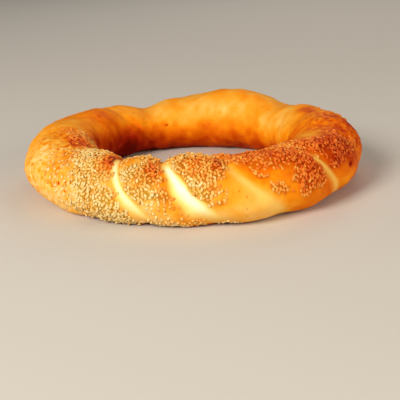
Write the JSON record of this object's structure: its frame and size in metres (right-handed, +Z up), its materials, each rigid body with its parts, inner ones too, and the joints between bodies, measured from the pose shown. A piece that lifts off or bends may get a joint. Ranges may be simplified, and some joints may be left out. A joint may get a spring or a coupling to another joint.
{
  "type": "simit",
  "caption": "Round ring of baked bread, twisted from ropes of dough and crusted with sesame seeds, with a plain rolled joint at the back.",
  "frame": {"origin": "middle of the ring's bounding box, on the surface that the ring rests on", "axes": "+Z up out of the flat foot; -Y towards the ring's front, where the twist shows best; the plain rolled joint is at the back, on the +Y side, a little towards +X"},
  "size_m": [0.1792, 0.1782, 0.0342],
  "materials": {
    "baked_crust": "golden orange baked crust, satin, paler in the valleys between the ropes",
    "sesame_seeds": "toasted sesame seeds, satin, from pale cream to brown"
  },
  "bodies": {
    "root": {"bread_ring": "baked_crust"}
  },
  "joints": []
}
